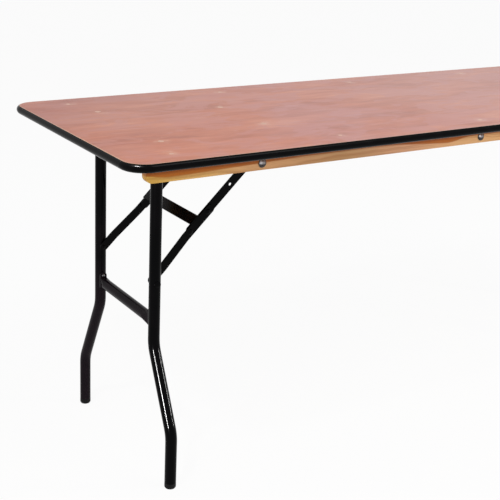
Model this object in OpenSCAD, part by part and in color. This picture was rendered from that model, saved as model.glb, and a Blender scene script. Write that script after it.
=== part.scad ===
// Trestle-style folding table: a plywood top on two pine rails, with two folding leg frames.
// Each leg frame swings up under the top while its two-part brace folds at the knuckle.
// Millimetres. Origin on the floor under the middle of the top, +X along the length, +Z up.
// Front is -Y and rear is +Y. Left-end parts are drawn first and mirrored to the right end.

/* [Top] */
// Overall length of the top
table_length = 1830; // [1600:10:2440]
// Overall depth of the top, front to back
table_depth = 610; // [600:5:760]
// Height of the top surface above the floor
table_height = 740; // [730:1:760]
// Thickness of the plywood and of its edge band
top_thickness = 17; // [16:1:22]
// Corner radius of the top, measured outside the band
corner_radius = 50; // [30:1:80]
// How far the edge band stands out from the plywood
band_width = 6; // [4:0.5:9]

/* [Rails] */
// Thickness of a rail, front to back
rail_thickness = 16; // [14:1:25]
// Depth of a rail below the plywood
rail_height = 35; // [30:1:45]
// From the edge of the top to the outer face of a rail
rail_inset = 52; // [20:1:52]
// From the end of the top to the end of a rail
rail_setback = 57; // [30:1:80]
// Radius of the lower corner at each rail end
rail_nose = 14; // [10:1:28]
// From the middle rail bolt to the outer two
rail_bolt_pitch = 598; // [400:1:650]
// Spacing of the screws that hold the rail to the top
rail_screw_pitch = 400; // [300:10:400]

/* [Leg frames] */
// Outside diameter of the leg tube
leg_tube = 25; // [22:1:28]
// Wall of the leg and crossbar tubes
tube_wall = 1.5; // [1.2:0.1:2]
// From the end of the top to the axes of the legs
leg_setback = 143.5; // [120:0.5:200]
// Distance between the two legs of a frame above the bend
leg_spread_top = 265.4; // [260:0.1:280]
// Distance between the two legs of a frame at the floor
leg_spread_foot = 436.6; // [380:0.2:436.6]
// Height of the upper bend
bend_top = 294; // [270:1:310]
// Height of the lower bend
bend_bottom = 122.5; // [100:0.5:140]
// Bend radius on the tube axis
bend_radius = 70; // [50:5:100]
// Outside diameter of the crossbar tube
crossbar_tube = 24; // [19:0.5:25]
// Height of the crossbar axis
crossbar_height = 349; // [330:1:370]
// Height of the visible part of a foot
foot_height = 12; // [8:1:20]
// Leg and brace pivots below the underside of the plywood
pivot_drop = 20; // [18:0.5:22]

/* [Braces] */
// From the leg pivot to the brace pivot along the table
brace_run = 280.5; // [275:0.5:300]
// Height of the rivet that joins the brace to the leg
brace_rivet_height = 434; // [430:1:445]
// Width of the upper arm bar
arm_width = 20; // [18:1:22]
// Thickness of the arm bars and of the stop strip
arm_thickness = 3; // [2.5:0.5:3]
// Between the middle planes of the two upper arms of a frame
arm_spread = 210; // [200:1:212]
// Width of the strip that joins the upper arms and stops the brace
strip_width = 25; // [20:1:30]
// From the brace pivot to the end of the upper arm
upper_arm_reach = 264; // [256:1:264]

/* [Hidden] */
$fn = 64;

// Running and assembly clearances, all on the diameter except gap
pin_clearance = 0.15;
hole_clearance = 0.2;
gap = 0.3;

// Heights
underside = table_height - top_thickness;
pivot_height = underside - pivot_drop;
rail_bolt_drop = 21;
rail_bolt_height = underside - rail_bolt_drop;
foot_pivot_drop = pivot_height - brace_rivet_height;

// Rails, measured from the middle of the table
rail_length = table_length - 2 * rail_setback;
rail_outer_y = table_depth / 2 - rail_inset;
rail_inner_y = rail_outer_y - rail_thickness;
rail_screw_count = 5;

// Legs
leg_x = table_length / 2 - leg_setback;
leg_top_y = leg_spread_top / 2;
leg_foot_y = leg_spread_foot / 2;
leg_radius = leg_tube / 2;
bend_angle = atan((leg_foot_y - leg_top_y) / (bend_top - bend_bottom));
bend_tangent = bend_radius * tan(bend_angle / 2);
slant_length = norm([leg_foot_y - leg_top_y, bend_top - bend_bottom]) - 2 * bend_tangent;
plate_thickness = 7;
plate_radius = 16;
tube_top_drop = 48;
plate_drop = 28;
tube_top = pivot_height - tube_top_drop;
plate_bottom = pivot_height - plate_drop;
leg_inner_y = leg_top_y - leg_radius;
tube_overlap = 1;
bend_extra = 0.05;
foot_edge = 3.5;
foot_plug = 18;
foot_plug_clearance = 0.1;

// Crossbar ends: squeezed narrow and tall, closed with a plate that is riveted to the leg
crossbar_plate = [16, 4];
squeezed_width = 15;
squeezed_height = 23;
squeezed_drop = 0.5;
squeeze_length = 20;
plate_rivet_rise = 16;
crossbar_end_y = leg_inner_y - crossbar_plate[1];
crossbar_round_y = crossbar_end_y - squeeze_length;
vent_hole = 4;

// Pivot brackets
bracket_thickness = 3;
bracket_radius = 14;
bracket_bend = 2;
bracket_flange = 24;
leg_cheek_y = leg_top_y + plate_thickness / 2 + gap;
bracket_bolt_offset = 12;

// Cheeks of the brace brackets stand this far inside the arms' middle planes
brace_cheek_y = arm_spread / 2 - arm_thickness / 2 - 0.5;

// Shanks of bolts, screws and rivets
leg_pin = 8;
brace_pin = 6;
rivet_pin = 8;
blind_rivet_pin = 4.8;
coach_bolt = 6;
wood_screw = 4;

// Heads and nuts, as [width, height]
leg_pivot_head = [13, 5.3];
leg_pivot_nut = [13, 6.5];
brace_pivot_head = [10, 4];
coach_nut = [10, 5];
rail_bolt_head = [15, 4.2];
rail_washer = [18, 1.2];
pan_head = [8, 2.4];
rivet_head = [13, 3];
stop_rivet_head = [13, 2.6];
leg_rivet_head = [15, 1.8];
leg_rivet_inner_head = [10, 2.2];
blind_rivet_head = [7, 1.6];
blind_rivet_bulge = [6.8, 2.4];
rail_screw_head = 8;
bracket_bolt_head = 11.5;

// Bolt ends and screw lengths
bolt_end = 7;
rail_screw_length = 30;
rail_screw_bore = 45;

// Filler plugs over the sunk heads
plug_depth = 1.5;
plug_margin = 1.5;

// Tongue of the edge band and its groove in the plywood
tongue_depth = 8;
tongue_thickness = 2;
groove_clearance = 0.1;

// Rail brackets
rail_bracket_width = 30;
rail_bracket_drop = 32;
rail_bracket_flange = 26;
rail_bracket_screw_y = rail_inner_y - 16;

// Cuts run this far past the faces they open
past = 1;

// Brace: straight when open, both arms level with the pivots when folded
brace_length = norm([brace_run, foot_pivot_drop]);
brace_angle = atan(foot_pivot_drop / brace_run);
fold_offset = brace_run - foot_pivot_drop;
knuckle_at = (brace_length + fold_offset) / 2;
arm_y = arm_spread / 2;
lower_arm_width = arm_width - 2 * gap;
lower_arm_trim = 2.5;
lower_arm_y = arm_y + arm_thickness + 0.5;
leg_side_gap = 1.2;
lower_foot_y = leg_inner_y - leg_side_gap - arm_thickness / 2;
lower_arm_overlap = 18;
lower_arm_top = knuckle_at - lower_arm_overlap;
joggle_start = brace_length - 116;
joggle_end = brace_length - 36;
spare_hole = 7;
spare_hole_at = 123;
stop_rivet_at = upper_arm_reach - 6.5;
strip_at = upper_arm_reach - 43;

// --- Placing ---

// Draws the front part as it is, or the rear one as its mirror image
module rear(is_rear) {
    mirror([0, is_rear ? 1 : 0, 0]) children();
}

// Draws the left part as it is, or the right one as its mirror image
module right(is_right) {
    mirror([is_right ? 1 : 0, 0, 0]) children();
}

module front_and_rear() {
    for (is_rear = [false, true]) rear(is_rear) children();
}

module all_corners() {
    for (is_right = [false, true]) right(is_right) front_and_rear() children();
}

// Turns local x, y, z into Y, Z, X
module in_yz() {
    rotate([90, 0, 90]) children();
}

// Turns local x, y, z into X, Z, -Y, so a drawing faces the front
module in_xz() {
    rotate([90, 0, 0]) children();
}

// Left brace frame: x runs from the brace pivot down to the leg rivet, -z faces the leg's top
module brace_frame() {
    translate([brace_run - leg_x, 0, pivot_height])
        rotate([0, 180 - brace_angle, 0]) children();
}

// --- Shared shapes ---

module rounded_rectangle(length, depth, radius) {
    square([length - 2 * radius, depth], center = true);
    square([length, depth - 2 * radius], center = true);
    for (x = [-1, 1], y = [-1, 1])
        translate([x * (length / 2 - radius), y * (depth / 2 - radius)]) circle(radius);
}

// Strip of metal bent to an L, its outer corner at the origin
module bent_strip(thickness, bend, along_x, along_y) {
    outer = bend + thickness;
    translate([outer, 0]) square([along_x - outer, thickness]);
    translate([0, outer]) square([thickness, along_y - outer]);
    intersection() {
        square(outer);
        translate([outer, outer]) difference() {
            circle(outer);
            circle(bend);
        }
    }
}

// Domed head on z = 0
module dome(diameter, height) {
    radius = (pow(diameter / 2, 2) + pow(height, 2)) / (2 * height);
    intersection() {
        translate([0, 0, height - radius]) sphere(radius);
        cylinder(d = diameter + 1, h = height + 1);
    }
}

// Hexagon of a nut or bolt head on z = 0
module hexagon(across_flats, height) {
    cylinder(d = across_flats / cos(30), h = height, $fn = 6);
}

// Nut on z = 0, its size given as [across flats, height]
module nut(size, shank) {
    difference() {
        hexagon(size[0], size[1]);
        translate([0, 0, -past]) cylinder(d = shank, h = size[1] + 2 * past);
    }
}

// Countersunk screw pointing down, its head face at z = 0
module sunk_screw(shank, head, length, extra = 0) {
    head_height = (head - shank) / 2;
    translate([0, 0, -head_height]) cylinder(d1 = shank + extra, d2 = head + extra, h = head_height);
    translate([0, 0, -length]) cylinder(d = shank + extra, h = length - head_height);
}

// Row of positions along a rail
module rail_screw_places() {
    for (i = [0 : rail_screw_count - 1])
        translate([(i - (rail_screw_count - 1) / 2) * rail_screw_pitch,
                   rail_inner_y + rail_thickness / 2, table_height]) children();
}

module rail_bolt_places() {
    for (i = [-1 : 1]) translate([i * rail_bolt_pitch, rail_outer_y, rail_bolt_height]) children();
}

// Bolts that hold the eight pivot brackets up to the plywood
module bracket_bolt_places() {
    all_corners() {
        translate([-leg_x, -leg_cheek_y - bracket_bolt_offset, table_height]) children();
        translate([brace_run - leg_x, bracket_bolt_offset - brace_cheek_y, table_height])
            children();
    }
}

// --- Top ---

module tabletop() {
    color([0.78, 0.56, 0.48]) difference() {
        translate([0, 0, underside]) linear_extrude(top_thickness)
            rounded_rectangle(table_length - 2 * band_width, table_depth - 2 * band_width,
                              corner_radius - band_width);
        band_groove();
        front_and_rear() rail_screw_places() flush_hole(wood_screw, rail_screw_head);
        bracket_bolt_places() flush_hole(coach_bolt, bracket_bolt_head);
    }
}

// Hole for a countersunk fastener with a round recess for its filler plug
module flush_hole(shank, head) {
    translate([0, 0, -plug_depth]) {
        sunk_screw(shank, head, top_thickness + past, extra = hole_clearance);
        cylinder(d = head + plug_margin, h = plug_depth + past);
    }
}

// Groove all round the plywood edge that takes the tongue of the band
module band_groove() {
    inset = band_width + tongue_depth + gap;
    width = tongue_thickness + 2 * groove_clearance;
    translate([0, 0, underside + top_thickness / 2 - width / 2])
        linear_extrude(width) difference() {
            rounded_rectangle(table_length + past, table_depth + past, corner_radius + past / 2);
            rounded_rectangle(table_length - 2 * inset, table_depth - 2 * inset,
                              corner_radius - inset);
        }
}

// Section of the band: x = 0 is its outer face, y = 0 the underside of the plywood
module band_section() {
    half = top_thickness / 2;
    arc = (pow(band_width, 2) + pow(half, 2)) / (2 * band_width);
    intersection() {
        translate([-arc, half]) circle(arc);
        translate([-band_width, 0]) square([band_width, top_thickness]);
    }
    translate([-band_width - tongue_depth, half - tongue_thickness / 2])
        square([tongue_depth + past, tongue_thickness]);
}

module edge_band() {
    long_side = table_length / 2 - corner_radius;
    short_side = table_depth / 2 - corner_radius;
    color([0.05, 0.05, 0.055]) translate([0, 0, underside]) {
        for (is_right = [false, true], is_rear = [false, true])
            mirror([is_right ? 1 : 0, 0, 0]) mirror([0, is_rear ? 1 : 0, 0])
                translate([long_side, short_side, 0]) rotate_extrude(angle = 90)
                    translate([corner_radius, 0]) band_section();
        for (turn = [0, 180]) rotate([0, 0, turn]) {
            translate([table_length / 2, short_side, 0]) in_xz()
                linear_extrude(2 * short_side) band_section();
            translate([-long_side, table_depth / 2, 0]) in_yz()
                linear_extrude(2 * long_side) band_section();
        }
    }
}

// --- Rails and their fasteners ---

module rail() {
    half = rail_length / 2;
    translate([0, rail_outer_y, underside - rail_height]) in_xz()
        linear_extrude(rail_thickness) {
            translate([-half, rail_nose]) square([rail_length, rail_height - rail_nose]);
            translate([rail_nose - half, 0])
                square([rail_length - 2 * rail_nose, rail_nose + past]);
            for (x = [rail_nose - half, half - rail_nose]) intersection() {
                translate([x, rail_nose]) circle(rail_nose);
                translate([-half, 0]) square([rail_length, rail_nose]);
            }
        }
}

module drilled_rail() {
    color([0.85, 0.66, 0.35]) difference() {
        rail();
        rail_bolt_places() translate([0, past, 0]) in_xz()
            cylinder(d = coach_bolt + hole_clearance, h = rail_thickness + 2 * past);
        rail_screw_places() translate([0, 0, -plug_depth - rail_screw_length - past])
            cylinder(d = wood_screw + hole_clearance, h = rail_screw_bore);
    }
}

module rail_rear() {
    drilled_rail();
}

module rail_front() {
    rear(true) drilled_rail();
}

// Steel angle that ties the rail to the underside of the plywood
module rail_bracket() {
    difference() {
        translate([0, rail_inner_y, underside]) in_yz()
            linear_extrude(rail_bracket_width, center = true) rotate(180)
                bent_strip(bracket_thickness, bracket_bend, rail_bracket_flange, rail_bracket_drop);
        translate([0, rail_inner_y + past, rail_bolt_height]) in_xz()
            cylinder(d = coach_bolt + hole_clearance, h = bracket_thickness + 2 * past);
        translate([0, rail_bracket_screw_y, underside - bracket_thickness - past])
            cylinder(d = wood_screw + hole_clearance, h = bracket_thickness + 2 * past);
    }
}

module rail_brackets() {
    color([0.72, 0.73, 0.75]) front_and_rear()
        for (i = [-1 : 1]) translate([i * rail_bolt_pitch, 0, 0]) rail_bracket();
}

// Short screws driven up through the brackets against the plywood
module rail_bracket_screws() {
    color([0.78, 0.78, 0.8]) front_and_rear() for (i = [-1 : 1])
        translate([i * rail_bolt_pitch, rail_bracket_screw_y, underside - bracket_thickness])
            rotate([180, 0, 0]) {
                dome(pan_head[0], pan_head[1]);
                translate([0, 0, -bracket_thickness]) cylinder(d = wood_screw, h = bracket_thickness);
            }
}

module rail_washers() {
    color([0.8, 0.8, 0.82]) front_and_rear() rail_bolt_places()
        rotate([-90, 0, 0]) difference() {
            cylinder(d = rail_washer[0], h = rail_washer[1]);
            translate([0, 0, -past])
                cylinder(d = coach_bolt + hole_clearance, h = rail_washer[1] + 2 * past);
        }
}

module rail_bolts() {
    reach = rail_thickness + bracket_thickness + bolt_end;
    color([0.78, 0.78, 0.8]) front_and_rear() rail_bolt_places()
        rotate([-90, 0, 0]) {
            translate([0, 0, rail_washer[1]]) dome(rail_bolt_head[0], rail_bolt_head[1]);
            translate([0, 0, -reach]) cylinder(d = coach_bolt, h = reach + rail_washer[1]);
        }
}

module rail_nuts() {
    color([0.78, 0.78, 0.8]) front_and_rear() rail_bolt_places()
        translate([0, -rail_thickness - bracket_thickness, 0]) in_xz()
            nut(coach_nut, coach_bolt);
}

module rail_screws() {
    color([0.78, 0.78, 0.8]) front_and_rear() rail_screw_places()
        translate([0, 0, -plug_depth]) sunk_screw(wood_screw, rail_screw_head, rail_screw_length);
}

// Wood filler over every countersunk head, level with the top
module filler_plugs() {
    color([0.85, 0.7, 0.6]) {
        front_and_rear() rail_screw_places() translate([0, 0, -plug_depth])
            cylinder(d = rail_screw_head + plug_margin, h = plug_depth);
        bracket_bolt_places() translate([0, 0, -plug_depth])
            cylinder(d = bracket_bolt_head + plug_margin, h = plug_depth);
    }
}

// --- Pivot brackets and their bolts ---

// Steel angle with a drilled cheek on y = 0 and its flange towards -y, hung from z = 0
module pivot_bracket(pin) {
    difference() {
        union() {
            in_yz() linear_extrude(2 * bracket_radius, center = true) rotate(180)
                bent_strip(bracket_thickness, bracket_bend, bracket_flange, pivot_drop);
            translate([0, 0, -pivot_drop]) in_xz()
                cylinder(r = bracket_radius, h = bracket_thickness);
        }
        translate([0, past, -pivot_drop]) in_xz()
            cylinder(d = pin, h = bracket_thickness + 2 * past);
        translate([0, -bracket_bolt_offset, -bracket_thickness - past])
            cylinder(d = coach_bolt + hole_clearance, h = bracket_thickness + 2 * past);
    }
}

module leg_brackets() {
    color([0.08, 0.08, 0.085]) all_corners()
        translate([-leg_x, -leg_cheek_y, underside]) pivot_bracket(leg_pin);
}

module brace_brackets() {
    color([0.08, 0.08, 0.085]) all_corners()
        translate([brace_run - leg_x, -brace_cheek_y, underside]) mirror([0, 1, 0])
            pivot_bracket(brace_pin);
}

module bracket_bolts() {
    reach = top_thickness - plug_depth + bracket_thickness + bolt_end;
    color([0.78, 0.78, 0.8]) bracket_bolt_places()
        translate([0, 0, -plug_depth]) sunk_screw(coach_bolt, bracket_bolt_head, reach);
}

module bracket_nuts() {
    color([0.78, 0.78, 0.8]) bracket_bolt_places()
        translate([0, 0, -top_thickness - bracket_thickness - coach_nut[1]])
            nut(coach_nut, coach_bolt);
}

// The leg turns on this bolt, between the cheek and the nut
module leg_pivot_bolts() {
    reach = bracket_thickness + plate_thickness + 2 * gap + leg_pivot_nut[1] + 1.5;
    color([0.78, 0.78, 0.8]) all_corners()
        translate([-leg_x, -leg_cheek_y - bracket_thickness, pivot_height]) rotate([-90, 0, 0]) {
            translate([0, 0, -leg_pivot_head[1]]) hexagon(leg_pivot_head[0], leg_pivot_head[1]);
            cylinder(d = leg_pin, h = reach);
        }
}

module leg_pivot_nuts() {
    color([0.78, 0.78, 0.8]) all_corners()
        translate([-leg_x, gap - leg_top_y + plate_thickness / 2, pivot_height])
            rotate([-90, 0, 0]) nut(leg_pivot_nut, leg_pin);
}

// The upper arm turns on this bolt, between its head and the cheek
module brace_pivot_bolts() {
    head_y = arm_y + arm_thickness / 2 + gap;
    reach = head_y - brace_cheek_y + bracket_thickness + coach_nut[1] + 1.7;
    color([0.78, 0.78, 0.8]) all_corners()
        translate([brace_run - leg_x, -head_y, pivot_height]) rotate([-90, 0, 0]) {
            translate([0, 0, -brace_pivot_head[1]])
                hexagon(brace_pivot_head[0], brace_pivot_head[1]);
            cylinder(d = brace_pin, h = reach);
        }
}

module brace_pivot_nuts() {
    color([0.78, 0.78, 0.8]) all_corners()
        translate([brace_run - leg_x, bracket_thickness - brace_cheek_y, pivot_height])
            rotate([-90, 0, 0]) nut(coach_nut, brace_pin);
}

// --- Leg frame ---

// Ring section of the leg tube, with its wall thickened on both sides by extra
module tube_section(extra = 0) {
    difference() {
        circle(leg_radius + extra);
        circle(leg_radius - tube_wall - extra);
    }
}

// The bends are a hair thicker than the straights, whose ends run a little way into them
module tube_bend() {
    rotate_extrude(angle = bend_angle) translate([bend_radius, 0]) tube_section(bend_extra);
}

module tube_straight(from, length) {
    translate([0, 0, from]) linear_extrude(length) tube_section();
}

// Bent tube of the front left leg, from above the foot to the flattened top
module leg_tube_run() {
    upper_z = bend_top + bend_tangent;
    lower_y = -leg_foot_y + bend_radius;
    lower_z = bend_bottom - bend_tangent;
    translate([-leg_x, 0, 0]) {
        translate([0, -leg_top_y, 0])
            tube_straight(upper_z - tube_overlap, tube_top - upper_z + tube_overlap);
        translate([0, -leg_top_y - bend_radius, upper_z]) in_yz() rotate(-bend_angle) tube_bend();
        translate([0, lower_y - bend_radius * cos(bend_angle),
                   lower_z + bend_radius * sin(bend_angle)])
            rotate([-bend_angle, 0, 0])
                tube_straight(-tube_overlap, slant_length + 2 * tube_overlap);
        translate([0, lower_y, lower_z]) in_yz() rotate(180 - bend_angle) tube_bend();
        translate([0, -leg_foot_y, 0])
            tube_straight(foot_height, lower_z - foot_height + tube_overlap);
    }
}

// Tube end squeezed flat and rounded off round the pivot hole
module leg_plate() {
    translate([-leg_x, -leg_top_y, 0]) {
        hull() {
            translate([0, 0, tube_top - 1]) cylinder(r = leg_radius - 0.3, h = 0.5, $fn = 32);
            translate([0, 0, plate_bottom])
                cube([2 * plate_radius, plate_thickness, 0.5], center = true);
        }
        translate([-plate_radius, -plate_thickness / 2, plate_bottom - 0.1])
            cube([2 * plate_radius, plate_thickness, pivot_height - plate_bottom + 0.1]);
        translate([0, plate_thickness / 2, pivot_height]) in_xz()
            cylinder(r = plate_radius, h = plate_thickness);
    }
}

module leg() {
    color([0.06, 0.06, 0.065]) difference() {
        union() {
            leg_tube_run();
            leg_plate();
        }
        translate([-leg_x, 0, pivot_height]) in_xz()
            cylinder(d = leg_pin + pin_clearance, h = table_depth);
        translate([-leg_x, 0, brace_rivet_height]) in_xz()
            cylinder(d = rivet_pin + hole_clearance, h = table_depth);
        translate([-leg_x, past - leg_inner_y, crossbar_height + plate_rivet_rise]) in_xz()
            cylinder(d = blind_rivet_pin + hole_clearance, h = leg_radius / 2);
    }
}

// Plastic foot: a plug inside the tube and a base with a rounded edge
module foot() {
    plug_radius = leg_radius - tube_wall - foot_plug_clearance;
    color([0.05, 0.05, 0.05]) translate([-leg_x, -leg_foot_y, 0]) rotate_extrude() {
        square([leg_radius - foot_edge, foot_height]);
        translate([0, foot_edge]) square([leg_radius, foot_height - foot_edge]);
        intersection() {
            translate([leg_radius - foot_edge, foot_edge]) circle(foot_edge);
            square([leg_radius, foot_height]);
        }
        square([plug_radius, foot_height + foot_plug]);
    }
}

// Round tube as far as the squeeze, then the plate standing against the leg
module crossbar_half() {
    plate_middle = crossbar_height - squeezed_drop;
    plate_foot = plate_middle - squeezed_height / 2;
    rivet_z = crossbar_height + plate_rivet_rise;
    translate([-leg_x, 0, 0]) {
        translate([-crossbar_plate[0] / 2, -leg_inner_y, plate_foot])
            cube([crossbar_plate[0], crossbar_plate[1], rivet_z - plate_foot]);
        translate([0, -crossbar_end_y, rivet_z]) in_xz()
            cylinder(d = crossbar_plate[0], h = crossbar_plate[1]);
        hull() {
            translate([0, -crossbar_end_y - 0.1, plate_middle])
                cube([squeezed_width, 0.4, squeezed_height], center = true);
            translate([0, -crossbar_round_y, crossbar_height]) in_xz()
                cylinder(d = crossbar_tube, h = 0.5, $fn = 32);
        }
        translate([0, 0, crossbar_height]) in_xz()
            cylinder(d = crossbar_tube, h = crossbar_round_y);
    }
}

// Its hollow is vented by a hole in the underside
module crossbar() {
    bore = crossbar_tube - 2 * tube_wall;
    bore_end = crossbar_round_y - past;
    color([0.06, 0.06, 0.065]) difference() {
        front_and_rear() crossbar_half();
        translate([-leg_x, bore_end, crossbar_height]) in_xz() cylinder(d = bore, h = 2 * bore_end);
        translate([-leg_x, 0, crossbar_height - crossbar_tube])
            cylinder(d = vent_hole, h = crossbar_tube);
        front_and_rear() translate([-leg_x, past - crossbar_end_y,
                                    crossbar_height + plate_rivet_rise]) in_xz()
            cylinder(d = blind_rivet_pin + hole_clearance, h = crossbar_plate[1] + 2 * past);
    }
}

// Blind rivets through the end plates into the inner wall of each leg
module crossbar_rivets() {
    grip = 2 * crossbar_plate[1];
    color([0.2, 0.2, 0.21]) front_and_rear()
        translate([-leg_x, -crossbar_end_y, crossbar_height + plate_rivet_rise])
            rotate([-90, 0, 0]) {
                dome(blind_rivet_head[0], blind_rivet_head[1]);
                translate([0, 0, -grip]) cylinder(d = blind_rivet_pin, h = grip);
                translate([0, 0, -grip - 0.5])
                    cylinder(d = blind_rivet_bulge[0], h = blind_rivet_bulge[1]);
            }
}

// Rivet through leg and lower arm, its outer head shaped to the round tube
module brace_rivets() {
    inner_face = lower_foot_y - arm_thickness / 2 - gap;
    saddle = 3;
    rim = 0.6;
    color([0.1, 0.1, 0.105]) front_and_rear()
        translate([-leg_x, -leg_top_y, brace_rivet_height]) {
            difference() {
                union() {
                    translate([0, rim / 2 - leg_radius - rim, 0]) rotate([90, 0, 0])
                        dome(leg_rivet_head[0] - rim, leg_rivet_head[1]);
                    translate([0, saddle - leg_radius, 0]) rotate([90, 0, 0])
                        cylinder(d = leg_rivet_head[0], h = saddle + rim);
                }
                translate([0, 0, -leg_tube]) cylinder(r = leg_radius, h = 2 * leg_tube);
            }
            translate([0, leg_top_y - inner_face, 0]) rotate([-90, 0, 0])
                dome(leg_rivet_inner_head[0], leg_rivet_inner_head[1]);
            translate([0, -leg_radius - past, 0]) rotate([-90, 0, 0])
                cylinder(d = rivet_pin, h = leg_radius + past + leg_top_y - inner_face);
        }
}

// --- Brace ---

// Flat bar with round ends in the brace frame, between two centres on its x axis
module bar(from, to, width, thickness) {
    translate([0, thickness / 2, 0]) in_xz() linear_extrude(thickness) {
        translate([from, -width / 2]) square([to - from, width]);
        for (x = [from, to]) translate([x, 0]) circle(d = width);
    }
}

module cross_hole(at, diameter) {
    translate([at, arm_width / 2, 0]) in_xz() cylinder(d = diameter, h = arm_width);
}

// Top view of the lower arm: in line with the leg at its foot, beside the upper arm at its top
module joggle_profile() {
    half = arm_thickness / 2;
    route = [
        [lower_arm_top - 1, -lower_arm_y],
        [joggle_start, -lower_arm_y],
        [joggle_end, -lower_foot_y],
        [brace_length + arm_width, -lower_foot_y]
    ];
    polygon([
        for (i = [0 : 3]) route[i] - [0, half],
        for (i = [3 : -1 : 0]) route[i] + [0, half]
    ]);
}

module lower_arm() {
    round_end = lower_arm_width / 2;
    color([0.06, 0.06, 0.065]) brace_frame() difference() {
        intersection() {
            translate([0, 0, -arm_width]) linear_extrude(2 * arm_width) joggle_profile();
            translate([0, -lower_arm_y, 0])
                bar(lower_arm_top + round_end, brace_length - lower_arm_trim, lower_arm_width,
                    3 * arm_width);
        }
        translate([0, -lower_foot_y, 0]) cross_hole(brace_length, rivet_pin + pin_clearance);
        translate([0, -lower_arm_y, 0]) cross_hole(knuckle_at, rivet_pin + hole_clearance);
        translate([0, -lower_arm_y, 0]) cross_hole(stop_rivet_at, rivet_pin + hole_clearance);
    }
}

module upper_arm() {
    tail = upper_arm_reach - arm_width / 2;
    color([0.06, 0.06, 0.065]) brace_frame() translate([0, -arm_y, 0]) difference() {
        bar(0, tail, arm_width, arm_thickness);
        cross_hole(0, brace_pin + pin_clearance);
        cross_hole(knuckle_at, rivet_pin + hole_clearance);
        cross_hole(spare_hole_at, spare_hole);
    }
}

// Flat strip across the upper edges of both upper arms; the lower arms close against it
module stop_strip() {
    reach = 2 * (lower_arm_y + arm_thickness / 2);
    color([0.09, 0.09, 0.095]) brace_frame()
        translate([strip_at, -reach / 2, -arm_width / 2 - arm_thickness])
            cube([strip_width, reach, arm_thickness]);
}

// Outer half of the knuckle rivet, headed over the lower arm
module knuckle_rivets() {
    outer_face = lower_arm_y + arm_thickness / 2;
    color([0.1, 0.1, 0.105]) brace_frame() front_and_rear()
        translate([knuckle_at, -outer_face, 0]) {
            rotate([90, 0, 0]) dome(rivet_head[0], rivet_head[1]);
            rotate([-90, 0, 0]) cylinder(d = rivet_pin, h = arm_thickness);
        }
}

// Inner half of the knuckle rivet, headed over the upper arm
module knuckle_heads() {
    inner_face = arm_y - arm_thickness / 2;
    color([0.1, 0.1, 0.105]) brace_frame() front_and_rear()
        translate([knuckle_at, -inner_face, 0]) {
            rotate([-90, 0, 0]) dome(rivet_head[0], rivet_head[1]);
            rotate([90, 0, 0]) cylinder(d = rivet_pin, h = arm_thickness);
        }
}

// Plain rivet in the lower arm, beside the end of the upper arm
module stop_rivets() {
    outer_face = lower_arm_y + arm_thickness / 2;
    color([0.1, 0.1, 0.105]) brace_frame() front_and_rear()
        translate([stop_rivet_at, -outer_face, 0]) {
            rotate([90, 0, 0]) dome(stop_rivet_head[0], stop_rivet_head[1]);
            rotate([-90, 0, 0]) cylinder(d = rivet_pin, h = arm_thickness);
        }
}

// --- Everything ---

tabletop();
edge_band();
rail_front();
rail_rear();
rail_brackets();
rail_bracket_screws();
rail_bolts();
rail_washers();
rail_nuts();
rail_screws();
filler_plugs();
leg_brackets();
brace_brackets();
bracket_bolts();
bracket_nuts();
leg_pivot_bolts();
leg_pivot_nuts();
brace_pivot_bolts();
brace_pivot_nuts();
leg();  // left_leg_front
rear(true) leg();  // left_leg_rear
crossbar();  // left_crossbar
crossbar_rivets();  // left_crossbar_rivets
front_and_rear() foot();  // left_feet
brace_rivets();  // left_brace_rivets
lower_arm();  // left_lower_arm_front
rear(true) lower_arm();  // left_lower_arm_rear
knuckle_rivets();  // left_knuckle_rivets
stop_rivets();  // left_stop_rivets
upper_arm();  // left_upper_arm_front
rear(true) upper_arm();  // left_upper_arm_rear
stop_strip();  // left_stop_strip
knuckle_heads();  // left_knuckle_heads
right(true) leg();  // right_leg_front
right(true) rear(true) leg();  // right_leg_rear
right(true) crossbar();  // right_crossbar
right(true) crossbar_rivets();  // right_crossbar_rivets
right(true) front_and_rear() foot();  // right_feet
right(true) brace_rivets();  // right_brace_rivets
right(true) lower_arm();  // right_lower_arm_front
right(true) rear(true) lower_arm();  // right_lower_arm_rear
right(true) knuckle_rivets();  // right_knuckle_rivets
right(true) stop_rivets();  // right_stop_rivets
right(true) upper_arm();  // right_upper_arm_front
right(true) rear(true) upper_arm();  // right_upper_arm_rear
right(true) stop_strip();  // right_stop_strip
right(true) knuckle_heads();  // right_knuckle_heads
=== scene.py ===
import math

import bpy
from mathutils import Matrix, Vector

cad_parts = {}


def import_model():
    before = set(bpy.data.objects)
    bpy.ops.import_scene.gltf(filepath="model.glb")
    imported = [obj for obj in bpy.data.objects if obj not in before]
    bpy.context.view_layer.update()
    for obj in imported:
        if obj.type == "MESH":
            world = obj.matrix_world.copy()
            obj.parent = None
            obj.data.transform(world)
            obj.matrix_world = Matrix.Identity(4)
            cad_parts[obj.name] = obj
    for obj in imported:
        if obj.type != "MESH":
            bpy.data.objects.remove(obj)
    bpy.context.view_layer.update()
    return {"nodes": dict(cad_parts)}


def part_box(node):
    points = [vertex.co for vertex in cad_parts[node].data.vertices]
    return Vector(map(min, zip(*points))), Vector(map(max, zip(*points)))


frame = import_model()
nodes = frame["nodes"]


# ---------------------------------------------------------------- material graph


def rgb(r, g, b):
    """An sRGB colour, 0 to 255, as linear RGBA."""
    def linear(c):
        c /= 255.0
        return c / 12.92 if c <= 0.04045 else ((c + 0.055) / 1.055) ** 2.4
    return (linear(r), linear(g), linear(b), 1.0)


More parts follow.
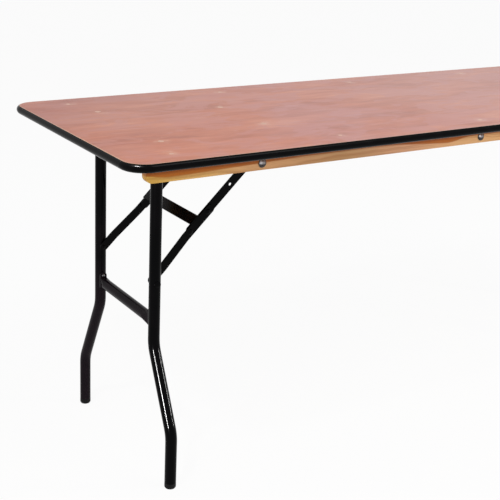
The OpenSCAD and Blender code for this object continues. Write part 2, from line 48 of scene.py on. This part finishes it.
class Graph:
    """A material being built. Its methods return sockets, which are passed on as inputs.

    Object coordinates are metres in the shared frame, so sizes in a material are real sizes."""

    def __init__(self, name):
        self.material = bpy.data.materials.new(name)
        self.material.use_nodes = True
        self.tree = self.material.node_tree
        self.tree.nodes.clear()
        coords = self.tree.nodes.new("ShaderNodeTexCoord")
        self.place, self.facing = coords.outputs["Object"], coords.outputs["Normal"]

    def put(self, socket, value):
        if isinstance(value, bpy.types.NodeSocket):
            self.tree.links.new(value, socket)
        else:
            socket.default_value = value

    def add(self, kind, inputs, out=0, **settings):
        node = self.tree.nodes.new("ShaderNode" + kind)
        for key, value in settings.items():
            setattr(node, key, value)
        for key, value in inputs.items():
            self.put(node.inputs[key], value)
        return node.outputs[out]

    def math(self, operation, a, b=0.0, clamp=False):
        return self.add("Math", {0: a, 1: b}, operation=operation, use_clamp=clamp)

    def split(self, vector):
        node = self.tree.nodes.new("ShaderNodeSeparateXYZ")
        self.put(node.inputs[0], vector)
        return node.outputs

    def shift(self, vector, by):
        return self.add("VectorMath", {0: vector, 1: by}, operation="ADD")

    def stretch(self, vector, scale, turn=(0.0, 0.0, 0.0), move=(0.0, 0.0, 0.0)):
        return self.add("Mapping", {"Vector": vector, "Location": move, "Rotation": turn,
                                    "Scale": scale})

    def noise(self, vector, scale, detail=2.0, roughness=0.5, distortion=0.0):
        return self.add("TexNoise", {"Vector": vector, "Scale": scale, "Detail": detail,
                                     "Roughness": roughness, "Distortion": distortion})

    def distance(self, x, y):
        return self.add("VectorMath", {0: self.add("CombineXYZ", {"X": x, "Y": y})}, out="Value",
                        operation="LENGTH")

    def span(self, value, low, high, to_low=0.0, to_high=1.0):
        """Eases from to_low to to_high as value goes from low to high, which may be the smaller."""
        return self.add("MapRange", {"Value": value, "From Min": low, "From Max": high,
                                     "To Min": to_low, "To Max": to_high},
                        interpolation_type="SMOOTHSTEP")

    def mix(self, share, a, b, blend="MIX"):
        """Colour a, going over to b as share goes from 0 to 1."""
        node = self.tree.nodes.new("ShaderNodeMix")
        node.data_type, node.blend_type = "RGBA", blend
        share_in, colour_a_in, colour_b_in, colour_out = 0, 6, 7, 2
        self.put(node.inputs[share_in], share)
        self.put(node.inputs[colour_a_in], a)
        self.put(node.inputs[colour_b_in], b)
        return node.outputs[colour_out]

    def ramp(self, value, *stops):
        node = self.tree.nodes.new("ShaderNodeValToRGB")
        ramp = node.color_ramp
        ramp.interpolation = "EASE"
        while len(ramp.elements) < len(stops):
            ramp.elements.new(0.5)
        for element, (at, colour) in zip(ramp.elements, stops):
            element.position, element.color = at, colour
        self.put(node.inputs[0], value)
        return node.outputs[0]

    def bump(self, height, strength, distance, normal=None):
        inputs = {"Height": height, "Strength": strength, "Distance": distance}
        if normal is not None:
            inputs["Normal"] = normal
        return self.add("Bump", inputs)

    def finish(self, colour, roughness, normal=None, **constants):
        shader = self.tree.nodes.new("ShaderNodeBsdfPrincipled")
        self.put(shader.inputs["Base Color"], colour)
        self.put(shader.inputs["Roughness"], roughness)
        if normal is not None:
            self.put(shader.inputs["Normal"], normal)
        for key, value in constants.items():
            shader.inputs[key.replace("_", " ")].default_value = value
        out = self.tree.nodes.new("ShaderNodeOutputMaterial")
        self.tree.links.new(shader.outputs[0], out.inputs[0])
        return self.material


# ---------------------------------------------------------------- materials


def corner_radius(name):
    """Radius of a node's rounded corners in plan, from the end of its straight long side."""
    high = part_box(name)[1]
    straight = max(v.co.x for v in nodes[name].data.vertices if v.co.y > high.y - 0.0001)
    return high.x - straight


def plug_places():
    """Middles of the filler plugs in one quarter of the top, x and y both positive."""
    plug_reach = 0.03
    middle_plug_reach = 0.02
    places = []
    for vertex in nodes["filler_plugs"].data.vertices:
        at = vertex.co
        if at.x < -middle_plug_reach or at.y < 0.0:
            continue
        for group in places:
            if (group[0] - at).length < plug_reach:
                group.append(at.copy())
                break
        else:
            places.append([at.copy()])
    middles = [(Vector(map(min, zip(*group))) + Vector(map(max, zip(*group)))) / 2 for group in places]
    return [(m.x, m.y) for m in middles]


def plywood():
    """Varnished rotary-cut veneer: short streaks and mottled patches, pores, a pale line along the
    edge.
    """
    g = Graph("varnished_plywood")
    low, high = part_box("tabletop")
    grain_wander = 0.10
    drift = g.noise(g.stretch(g.place, (2.4, 6.0, 1.0)), 1.0, 3.0, 0.6)
    sideways = g.math("MULTIPLY", g.math("SUBTRACT", drift, 0.5), grain_wander)
    grain = g.shift(g.place, g.add("CombineXYZ", {"Y": sideways}))

    # the veneer's figure, from broad bands down to single fibres
    bands = g.noise(g.stretch(grain, (3.4, 15.0, 1.0)), 1.0, 5.0, 0.60, 0.5)
    patches = g.noise(g.stretch(g.place, (8.0, 15.0, 1.0), (0.0, 0.0, 0.25)), 1.0, 5.0, 0.62, 0.8)
    streaks = g.noise(g.stretch(grain, (11.0, 85.0, 1.0)), 1.0, 4.0, 0.62)
    fibres = g.noise(g.stretch(grain, (36.0, 640.0, 1.0)), 1.0, 3.0, 0.6)
    haze_and_sheen = g.noise(g.stretch(g.place, (1.8, 3.0, 1.0), move=(4.0, 1.0, 0.0)), 1.0, 4.0, 0.62, 0.4)

    colour = g.ramp(bands, (0.34, rgb(170, 84, 52)), (0.46, rgb(188, 100, 66)),
                    (0.56, rgb(198, 112, 80)), (0.69, rgb(210, 130, 98)))
    colour = g.mix(g.span(patches, 0.47, 0.57, 0.0, 0.75), colour, rgb(194, 118, 104))
    colour = g.mix(g.span(streaks, 0.50, 0.72, 0.0, 0.28), colour, rgb(172, 84, 56))
    colour = g.mix(g.span(streaks, 0.48, 0.30, 0.0, 0.24), colour, rgb(216, 144, 114))
    colour = g.mix(g.span(fibres, 0.56, 0.78, 0.0, 0.22), colour, rgb(146, 78, 54))

    # a pale line along the edge, measured inwards from the rounded outline
    x, y = g.split(g.place)[:2]
    along, across = g.math("ABSOLUTE", x), g.math("ABSOLUTE", y)
    radius = corner_radius("tabletop")
    over_x = g.math("SUBTRACT", along, high.x - radius)
    over_y = g.math("SUBTRACT", across, high.y - radius)
    corner = g.distance(g.math("MAXIMUM", over_x, 0.0), g.math("MAXIMUM", over_y, 0.0))
    inside = g.math("MINIMUM", g.math("MAXIMUM", over_x, over_y), 0.0)
    from_edge = g.math("SUBTRACT", radius, g.math("ADD", corner, inside))
    pale_edge_width, edge_fray = 0.0016, 0.0030
    fray = g.math("MULTIPLY", g.noise(g.place, 60.0, 2.0), edge_fray)
    pale = g.span(g.math("SUBTRACT", from_edge, fray), pale_edge_width, 0.0, 0.0, 0.85)
    colour = g.mix(pale, colour, rgb(224, 180, 148))

    # filler smeared a little way round each plug
    smear = 0.0
    smear_rim, smear_core, smear_raggedness = 0.062, 0.032, 0.080
    blur = g.noise(g.stretch(g.place, (20.0, 34.0, 1.0)), 1.0, 4.0, 0.7)
    for at_x, at_y in plug_places():
        away = g.distance(g.math("SUBTRACT", along, at_x), g.math("SUBTRACT", across, at_y))
        ragged = g.math("ADD", away, g.math("MULTIPLY", blur, smear_raggedness))
        smear = g.math("MAXIMUM", smear, g.span(ragged, smear_rim, smear_core))
    colour = g.mix(g.math("MULTIPLY", smear, 0.55), colour, rgb(222, 176, 156))

    # the underside has no varnish
    under = g.span(g.split(g.facing)["Z"], -0.4, -0.6)
    raw = g.mix(g.span(bands, 0.35, 0.65), rgb(168, 118, 88), rgb(192, 146, 112))
    raw = g.mix(g.span(streaks, 0.5, 0.75, 0.0, 0.6), raw, rgb(140, 92, 66))
    raw = g.mix(g.span(fibres, 0.55, 0.75, 0.0, 0.4), raw, rgb(120, 78, 58))
    colour = g.mix(under, colour, raw)

    # a hazy film where the varnish is worn, and a painted sheen that grows from the left end towards
    # the right
    scuffs = g.noise(g.stretch(g.place, (7.0, 30.0, 1.0), (0.0, 0.0, 0.55)), 1.0, 4.0, 0.7)
    wear = g.span(scuffs, 0.56, 0.72)
    worn_film_and_sheen = g.math("ADD", g.span(haze_and_sheen, 0.47, 0.66, 0.0, 0.30), g.math("MULTIPLY", wear, 0.12))
    # painted sheen: the film is thinnest at the left end and grows paler towards the right
    worn_film_and_sheen = g.math("ADD", worn_film_and_sheen, g.span(x, low.x, high.x * 0.45, -0.14, 0.22), clamp=True)
    worn_film_and_sheen = g.math("MULTIPLY", worn_film_and_sheen, g.math("SUBTRACT", 1.0, under))
    colour = g.mix(worn_film_and_sheen, colour, rgb(206, 168, 172))

    # painted shade and tint for how the light falls over the top: a little darker towards its rear
    # left corner and warmer at its left end
    to_rear_left = g.math("SUBTRACT", g.math("MULTIPLY", y, 1.2), x)
    colour = g.mix(g.span(to_rear_left, 0.55, 1.15), colour, rgb(236, 228, 228), "MULTIPLY")
    colour = g.mix(g.span(x, low.x * 0.45, low.x * 0.95), colour, rgb(255, 251, 238), "MULTIPLY")
    # more painted shade at the rear left corner
    colour = g.mix(g.span(to_rear_left, 0.85, 1.12), colour, rgb(248, 235, 234), "MULTIPLY")
    matt_underside = g.math("MULTIPLY", under, 0.25)
    rough = g.math("ADD", g.span(haze_and_sheen, 0.40, 0.70, 0.42, 0.56), matt_underside, clamp=True)

    relief = g.math("ADD", g.math("MULTIPLY", fibres, 0.6), g.math("MULTIPLY", streaks, 0.4))
    normal = g.bump(relief, 0.10, 0.0004)
    return g.finish(colour, rough, normal, Specular_IOR_Level=0.30, Coat_Weight=0.28,
                    Coat_Roughness=0.22)


def filler():
    """Cream wood filler, sanded flush and varnished with the top."""
    g = Graph("sanded_filler")
    grit = g.noise(g.place, 900.0, 3.0, 0.6)
    stain = g.noise(g.place, 160.0, 2.0)
    colour = g.mix(g.span(stain, 0.35, 0.65), rgb(218, 178, 154), rgb(204, 154, 132))
    colour = g.mix(g.span(grit, 0.50, 0.80, 0.0, 0.5), colour, rgb(188, 136, 112))
    return g.finish(colour, g.span(grit, 0.3, 0.7, 0.36, 0.50), g.bump(grit, 0.12, 0.0003),
                    Specular_IOR_Level=0.40)


def vinyl():
    """Extruded black edge band: satin, with faint length marks, rubbed dull patches and dust."""
    g = Graph("black_vinyl_band")
    marks = g.noise(g.stretch(g.place, (14.0, 14.0, 520.0)), 1.0, 3.0, 0.6)
    rubbed = g.noise(g.place, 26.0, 4.0, 0.65)
    specks = g.noise(g.place, 420.0, 2.0, 0.6)
    colour = g.mix(g.span(rubbed, 0.50, 0.75, 0.0, 0.6), rgb(4, 4, 5), rgb(11, 10, 11))
    colour = g.mix(g.span(specks, 0.70, 0.86, 0.0, 0.4), colour, rgb(50, 48, 47))
    rough = g.math("ADD", g.span(rubbed, 0.35, 0.75, 0.12, 0.23), g.math("MULTIPLY", marks, 0.06))
    relief = g.math("ADD", g.math("MULTIPLY", marks, 0.7), g.math("MULTIPLY", specks, 0.3))
    return g.finish(colour, rough, g.bump(relief, 0.10, 0.0004), Specular_IOR_Level=0.045)


def pine(name, rail, offset, turned=False):
    """Planed softwood: straw and tan with slanting growth lines, an orange tongue along the top.

    The tongue is orange heartwood with painted shade from the overhang over it, darker towards the
    top edge. It reaches down from the rail's top edge to a wavy border, which runs deeper at one end,
    in a wedge just short of the middle and again past the middle. Painted shade also darkens the
    face towards its top edge. A turned rail has all of this from its other end."""
    g = Graph(name)
    low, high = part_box(rail)
    place = g.shift(g.place, offset)
    sway = g.noise(g.stretch(place, (2.6, 3.0, 5.0)), 1.0, 3.0, 0.55)
    tone = g.noise(g.stretch(place, (2.6, 8.0, 30.0)), 1.0, 3.0, 0.55)
    fibres = g.noise(g.stretch(place, (24.0, 700.0, 700.0)), 1.0, 3.0, 0.6)
    x, y, z = g.split(place)
    lift = g.math("MULTIPLY", g.math("SUBTRACT", sway, 0.5), 0.085)
    level = g.math("ADD", g.math("ADD", z, g.math("MULTIPLY", y, 0.35)), lift)
    rings = g.add("CombineXYZ", {"X": g.math("MULTIPLY", x, 1.1),
                                 "Z": g.math("MULTIPLY", level, 150.0)})
    lines = g.span(g.noise(rings, 1.0, 3.0, 0.5, 0.2), 0.48, 0.60)

    start, stop = (high.x, low.x) if turned else (low.x, high.x)
    in_rail = g.split(g.place)
    along = g.add("MapRange", {"Value": in_rail["X"], "From Min": start, "From Max": stop})
    depth = g.math("SUBTRACT", high.z, in_rail["Z"])
    colour = g.ramp(along, (0.0, rgb(224, 180, 86)), (0.06, rgb(230, 184, 112)),
                    (0.16, rgb(234, 184, 136)), (0.27, rgb(196, 156, 112)),
                    (0.37, rgb(216, 164, 126)), (0.48, rgb(230, 180, 126)),
                    (0.72, rgb(208, 160, 102)), (1.0, rgb(220, 170, 98)))
    colour = g.mix(g.span(tone, 0.40, 0.66, 0.0, 0.4), colour, rgb(174, 122, 74))

    tongue, end_swell, wedge_swell, past_swell = 0.0152, 0.0105, 0.0110, 0.0110
    at_end = g.math("MULTIPLY", g.span(along, 0.23, 0.02, 0.0, end_swell),
                    g.span(along, -0.008, 0.03, 0.3, 1.0))
    wedge = g.math("MULTIPLY", g.span(along, 0.33, 0.45),
                   g.span(along, 0.482, 0.440, 0.0, wedge_swell))
    beyond = g.math("MULTIPLY", g.span(sway, 0.46, 0.60),
                    g.span(along, 0.52, 0.62, 0.0, past_swell))
    ripple = g.math("MULTIPLY", g.math("SUBTRACT", tone, 0.5), 0.008)
    border = g.math("ADD", g.math("ADD", at_end, wedge),
                    g.math("ADD", beyond, g.math("ADD", ripple, tongue)))
    past = g.math("SUBTRACT", depth, border)
    # painted shade under the overhang, over the orange heartwood: the tongue's amber darkens towards
    # the top edge
    amber_and_shade = g.mix(g.span(depth, 0.014, 0.024), rgb(152, 76, 22), rgb(178, 98, 26))
    colour = g.mix(g.span(past, 0.0026, -0.0018, 0.0, 0.92), colour, amber_and_shade)
    colour = g.mix(g.span(g.math("ABSOLUTE", past), 0.0016, 0.0, 0.0, 0.35), colour, rgb(138, 76, 40))
    # painted shade under the overhang: the face darkens towards its top edge
    colour = g.mix(g.span(depth, 0.021, 0.013, 0.0, 0.6), colour, rgb(190, 172, 158), "MULTIPLY")
    colour = g.mix(g.math("MULTIPLY", lines, 0.32), colour, rgb(150, 92, 48))
    colour = g.mix(g.span(fibres, 0.52, 0.78, 0.0, 0.30), colour, rgb(146, 96, 56))

    end_grain = g.span(g.math("ABSOLUTE", g.split(g.facing)["X"]), 0.6, 0.9)
    colour = g.mix(g.math("MULTIPLY", end_grain, 0.45), colour, rgb(196, 138, 74))
    rough = g.span(tone, 0.3, 0.7, 0.42, 0.56)
    relief = g.math("ADD", g.math("MULTIPLY", lines, 0.6), g.math("MULTIPLY", fibres, 0.4))
    return g.finish(colour, rough, g.bump(relief, 0.14, 0.0004), Specular_IOR_Level=0.15)


def paint(name, dusty=False):
    """Gloss black enamel on steel: soft orange peel, duller hand-worn patches, a few fine rubs.

    Enamel with a painted sheen turns a brownish black from the crossbar down, a painted reflection."""
    no_sheen_above, sheen_below = 0.42, 0.33
    g = Graph(name)
    peel = g.noise(g.place, 340.0, 2.0, 0.5)
    worn = g.noise(g.stretch(g.place, (9.0, 9.0, 5.0)), 1.0, 4.0, 0.6)
    rubs = g.noise(g.stretch(g.place, (700.0, 700.0, 30.0)), 1.0, 2.0, 0.6)
    colour = g.mix(g.span(worn, 0.45, 0.72, 0.0, 0.7), rgb(2, 2, 3), rgb(9, 5, 9))
    colour = g.mix(g.span(rubs, 0.74, 0.88, 0.0, 0.35), colour, rgb(44, 41, 43))
    # painted reflection: a brownish sheen from the crossbar down
    if dusty:
        lower = g.span(g.split(g.place)["Z"], no_sheen_above, sheen_below, 0.0, 0.85)
        haze_and_sheen = g.math("ADD", lower, g.span(worn, 0.35, 0.65, -0.15, 0.15))
        colour = g.mix(g.math("MAXIMUM", haze_and_sheen, 0.0), colour, rgb(29, 21, 27))
    rough = g.math("ADD", g.span(worn, 0.35, 0.75, 0.09, 0.20), g.span(rubs, 0.70, 0.90, 0.0, 0.16))
    return g.finish(colour, rough, g.bump(peel, 0.07, 0.0005), Specular_IOR_Level=0.048)


def zinc(name, bright, dull, stain_and_shade, smooth=0.16, shade_node=None):
    """Zinc plate: cool grey with a straw bloom, darker stains and a fine grain.

    The heads of a node given for shading are painted darker towards their lower edge, as painted
    shade."""
    g = Graph(name)
    bloom = g.noise(g.place, 130.0, 3.0, 0.55)
    grain = g.noise(g.place, 1500.0, 2.0, 0.6)
    colour = g.mix(g.span(bloom, 0.38, 0.64), rgb(*bright), rgb(*dull))
    colour = g.mix(g.span(bloom, 0.60, 0.76, 0.0, 0.6), colour, rgb(*stain_and_shade))
    rough = g.math("ADD", g.span(bloom, 0.3, 0.7, smooth, smooth * 2), g.math("MULTIPLY", grain, 0.08))
    # painted shade: the heads darken towards their lower edge
    if shade_node:
        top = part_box(shade_node)[1].z
        ragged = g.math("ADD", g.split(g.place)["Z"], g.math("MULTIPLY", bloom, 0.004))
        painted_shade = g.span(ragged, top - 0.004, top - 0.008)
        colour = g.mix(g.math("MULTIPLY", painted_shade, 0.9), colour, rgb(*stain_and_shade))
    return g.finish(colour, rough, g.bump(grain, 0.08, 0.0002), Metallic=1.0)


def plastic():
    """Moulded black plastic feet: fine stipple, scuffed grey near the floor."""
    g = Graph("foot_plastic")
    stipple = g.noise(g.place, 1300.0, 2.0, 0.5)
    scuff = g.noise(g.stretch(g.place, (90.0, 90.0, 260.0)), 1.0, 3.0, 0.65)
    near_floor = g.span(g.split(g.place)["Z"], 0.009, 0.001)
    scuffed = g.math("MULTIPLY", near_floor, g.span(scuff, 0.42, 0.70))
    colour = g.mix(scuffed, rgb(10, 9, 10), rgb(34, 32, 31))
    return g.finish(colour, g.span(scuff, 0.3, 0.7, 0.46, 0.62), g.bump(stipple, 0.25, 0.0003),
                    Specular_IOR_Level=0.14)


finishes = {
    "plywood": plywood(),
    "wood_filler": filler(),
    "black_vinyl": vinyl(),
    "pine": pine("pine_rail", "rail_front", (0.0, 0.0, 0.0)),
    "black_paint": paint("black_enamel"),
    "zinc_steel": zinc("zinc_plate", (138, 140, 146), (112, 108, 104), (80, 76, 74)),
    "foot_plastic": plastic(),
}
for obj in nodes.values():
    for holder in obj.material_slots:
        holder.material = finishes[holder.material.name.split(".")[0]]

# the rear legs and crossbars get the enamel with a painted reflection from the crossbar down
enamel_with_painted_sheen = paint("enamel_painted_sheen", dusty=True)
special = {f"{end}_{part}": enamel_with_painted_sheen
           for end in ("left", "right") for part in ("leg_rear", "crossbar")}
# the washers are zinc painted darker, as painted shade round the bolt heads; the bolts get painted
# shade along their lower edge
special["rail_washers"] = zinc("washer_painted_shade", (84, 82, 80), (66, 62, 58), (48, 44, 42))
special["rail_bolts"] = zinc("dull_bolt", (176, 175, 180), (132, 128, 126), (44, 36, 34), 0.30,
                             shade_node="rail_bolts")
special["rail_rear"] = pine("pine_rail_rear", "rail_rear", (3.7, 1.1, 0.4), turned=True)
for name, material in special.items():
    nodes[name].material_slots[0].material = material


# ---------------------------------------------------------------- softened edges


def soften(name, width):
    """Rounds the sharp edges of a CAD node with modifiers, leaving its mesh alone."""
    obj = nodes[name]
    weld = obj.modifiers.new("weld", "WELD")
    weld.merge_threshold = 0.00001
    flat = obj.modifiers.new("flat", "DECIMATE")
    flat.decimate_type, flat.angle_limit = "DISSOLVE", math.radians(0.5)
    bevel = obj.modifiers.new("bevel", "BEVEL")
    bevel.width, bevel.segments = width, 2
    bevel.limit_method, bevel.angle_limit = "ANGLE", math.radians(40)
    bevel.harden_normals = True


rail_edge = 0.0012
bar_edge = 0.0004
soften("rail_front", rail_edge)
soften("rail_rear", rail_edge)
for end in ("left", "right"):
    for side in ("front", "rear"):
        soften(f"{end}_lower_arm_{side}", bar_edge)
        soften(f"{end}_upper_arm_{side}", bar_edge)
    soften(f"{end}_stop_strip", bar_edge)


# ---------------------------------------------------------------- stage and lights


def floor():
    """A pale floor, mostly its own white to the camera and in reflections, with a faint shadow."""
    below_feet = 0.0004
    own_white = 0.94
    bpy.ops.mesh.primitive_plane_add(size=80.0, location=(0.0, 0.0, -below_feet))
    plane = bpy.context.object
    plane.name = "floor"
    g = Graph("pale_floor")
    light = g.tree.nodes.new("ShaderNodeLightPath")
    mirrored = g.math("MAXIMUM", light.outputs["Is Glossy Ray"],
                      light.outputs["Is Transmission Ray"])
    seen = g.math("MAXIMUM", light.outputs["Is Camera Ray"], mirrored)
    diffuse = g.add("BsdfDiffuse", {"Color": (0.86, 0.86, 0.86, 1.0)})
    white = g.add("Emission", {"Color": (1.0, 1.0, 1.0, 1.0), "Strength": 1.0})
    both = g.add("MixShader", {0: g.math("MULTIPLY", seen, own_white), 1: diffuse, 2: white})
    out = g.tree.nodes.new("ShaderNodeOutputMaterial")
    g.tree.links.new(both, out.inputs[0])
    plane.data.materials.append(g.material)


def world():
    """A white surround, bright to the camera and in reflections and weak as a light."""
    lighting, backdrop = 0.40, 0.965
    sky = bpy.data.worlds.new("studio")
    bpy.context.scene.world = sky
    sky.use_nodes = True
    tree = sky.node_tree
    tree.nodes.clear()
    path = tree.nodes.new("ShaderNodeLightPath")
    first = tree.nodes.new("ShaderNodeMath")
    second = tree.nodes.new("ShaderNodeMath")
    first.operation = second.operation = "MAXIMUM"
    tree.links.new(path.outputs["Is Camera Ray"], first.inputs[0])
    tree.links.new(path.outputs["Is Glossy Ray"], first.inputs[1])
    tree.links.new(first.outputs[0], second.inputs[0])
    tree.links.new(path.outputs["Is Transmission Ray"], second.inputs[1])
    strength = tree.nodes.new("ShaderNodeMapRange")
    strength.inputs[3].default_value, strength.inputs[4].default_value = lighting, backdrop
    tree.links.new(second.outputs[0], strength.inputs[0])
    back = tree.nodes.new("ShaderNodeBackground")
    back.inputs["Color"].default_value = (1.0, 1.0, 1.0, 1.0)
    tree.links.new(strength.outputs[0], back.inputs["Strength"])
    out = tree.nodes.new("ShaderNodeOutputWorld")
    tree.links.new(back.outputs[0], out.inputs[0])


def softbox(name, place, target, width, height, watts, shine=True, glints=None):
    """An area lamp. One with glints is seen only in reflections, and only on those nodes."""
    lamp = bpy.data.lights.new(name, "AREA")
    lamp.shape, lamp.size, lamp.size_y = "RECTANGLE", width, height
    lamp.energy = watts
    obj = bpy.data.objects.new(name, lamp)
    bpy.context.scene.collection.objects.link(obj)
    obj.location = place
    obj.rotation_mode = "QUATERNION"
    obj.rotation_quaternion = (Vector(target) - Vector(place)).to_track_quat("-Z", "Y")
    obj.visible_camera, obj.visible_glossy, obj.visible_diffuse = False, shine, glints is None
    if glints:
        group = bpy.data.collections.new(name)
        for node in glints:
            group.objects.link(nodes[node])
        obj.light_linking.receiver_collection = group


def camera():
    """The photograph's viewpoint: in front of the left end, above the top, a little rolled."""
    place = (-1.74965, -1.97700, 1.24466)
    yaw, pitch, roll = 0.57875106, -0.29076404, 0.04383210
    ahead = Vector((math.sin(yaw) * math.cos(pitch), math.cos(yaw) * math.cos(pitch), math.sin(pitch)))
    level = Vector((math.cos(yaw), -math.sin(yaw), 0.0))
    upward = level.cross(ahead)
    right = level * math.cos(roll) + upward * math.sin(roll)
    up = upward * math.cos(roll) - level * math.sin(roll)
    data = bpy.data.cameras.new("camera")
    data.sensor_width, data.lens, data.shift_y = 36.0, 77.146, -0.1
    data.clip_start, data.clip_end = 0.05, 200.0
    obj = bpy.data.objects.new("camera", data)
    bpy.context.scene.collection.objects.link(obj)
    turn = Matrix((right, up, -ahead)).transposed().to_4x4()
    obj.matrix_world = Matrix.Translation(place) @ turn
    bpy.context.scene.camera = obj


floor()
world()

# the reflection-only lamps draw the thin bright lines along the enamel, the band and the bolts
rivets = ("brace_rivets", "knuckle_rivets", "knuckle_heads", "stop_rivets")
enamels = (finishes["black_paint"], enamel_with_painted_sheen)
black = [name for name, obj in nodes.items()
         if obj.material_slots[0].material in enamels and not name.endswith(rivets)]

over_left_end = (-2.15, -0.88, 2.94)
beyond_left = (-4.80, -2.90, 1.20)
beyond_right = (2.60, -2.10, 0.95)
left_top, left_frame, middle = (-0.6, 0.0, 0.7), (-0.6, 0.0, 0.4), (-0.4, 0.0, 0.4)
softbox("top_left", over_left_end, left_top, 0.22, 0.22, 20.0, shine=False)
softbox("left_strip", beyond_left, left_frame, 0.40, 0.60, 58.0, shine=False)
softbox("right_strip", beyond_right, middle, 0.40, 0.55, 38.0, shine=False)
softbox("top_front", (0.70, -1.80, 3.10), (0.2, 0.0, 0.7), 1.6, 1.2, 33.0)
softbox("band_glint", over_left_end, left_top, 0.60, 0.42, 460.0, glints=["edge_band"])
softbox("left_glint", beyond_left, left_frame, 0.14, 0.60, 1060.0, glints=black)
softbox("right_glint", beyond_right, middle, 0.12, 0.55, 275.0, glints=black)
softbox("bolt_glint", (-2.60, -3.60, 1.75), (-0.6, -0.26, 0.7), 0.40, 0.40, 60.0,
        glints=["rail_bolts"])
camera()
bpy.context.scene.view_settings.view_transform = "Standard"
